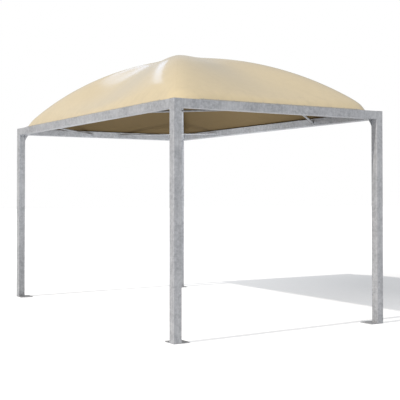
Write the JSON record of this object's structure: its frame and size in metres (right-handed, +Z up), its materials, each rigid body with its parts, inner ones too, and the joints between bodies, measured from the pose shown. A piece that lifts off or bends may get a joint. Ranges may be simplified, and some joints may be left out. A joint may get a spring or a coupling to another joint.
{
  "type": "open gazebo with a steel frame and a membrane roof",
  "caption": "Rectangular open pavilion: galvanised square-tube posts and beams, crossing diagonal arches and one domed fabric roof.",
  "frame": {"origin": "middle of the plan on the floor, level with the base plates' undersides", "axes": "+X along the long side, +Y along the short side towards the back, +Z up"},
  "size_m": [5, 3, 3.509],
  "materials": {
    "galvanised_tube": "hot-dip galvanised, matt grey with a faint spangle",
    "galvanised_plate": "hot-dip galvanised plate, matt grey",
    "galvanised_rod": "zinc-coated rod, slightly brighter than the tubes",
    "clamping_bar": "galvanised flat bar",
    "membrane": "sand-beige coated roof membrane, satin"
  },
  "bodies": {
    "root": {"post_front_left": "galvanised_tube", "post_front_right": "galvanised_tube", "post_back_left": "galvanised_tube", "post_back_right": "galvanised_tube", "post_cap_front_left": "galvanised_plate", "post_cap_front_right": "galvanised_plate", "post_cap_back_left": "galvanised_plate", "post_cap_back_right": "galvanised_plate", "base_plate_front_left": "galvanised_plate", "base_plate_front_right": "galvanised_plate", "base_plate_back_left": "galvanised_plate", "base_plate_back_right": "galvanised_plate", "beam_front": "galvanised_tube", "beam_back": "galvanised_tube", "beam_left": "galvanised_tube", "beam_right": "galvanised_tube", "knee_front_left_long": "galvanised_plate", "knee_front_right_long": "galvanised_plate", "knee_back_left_long": "galvanised_plate", "knee_back_right_long": "galvanised_plate", "knee_front_left_short": "galvanised_plate", "knee_front_right_short": "galvanised_plate", "knee_back_left_short": "galvanised_plate", "knee_back_right_short": "galvanised_plate", "brace_front_left": "galvanised_rod", "brace_front_right": "galvanised_rod", "brace_back_left": "galvanised_rod", "brace_back_right": "galvanised_rod", "arch_front_left": "galvanised_tube", "arch_front_right": "galvanised_tube", "arch_back_left": "galvanised_tube", "arch_back_right": "galvanised_tube", "crown_hub": "galvanised_tube", "roof_membrane": "membrane", "edge_bar_front": "clamping_bar", "edge_bar_back": "clamping_bar", "edge_bar_left": "clamping_bar", "edge_bar_right": "clamping_bar"}
  },
  "joints": []
}
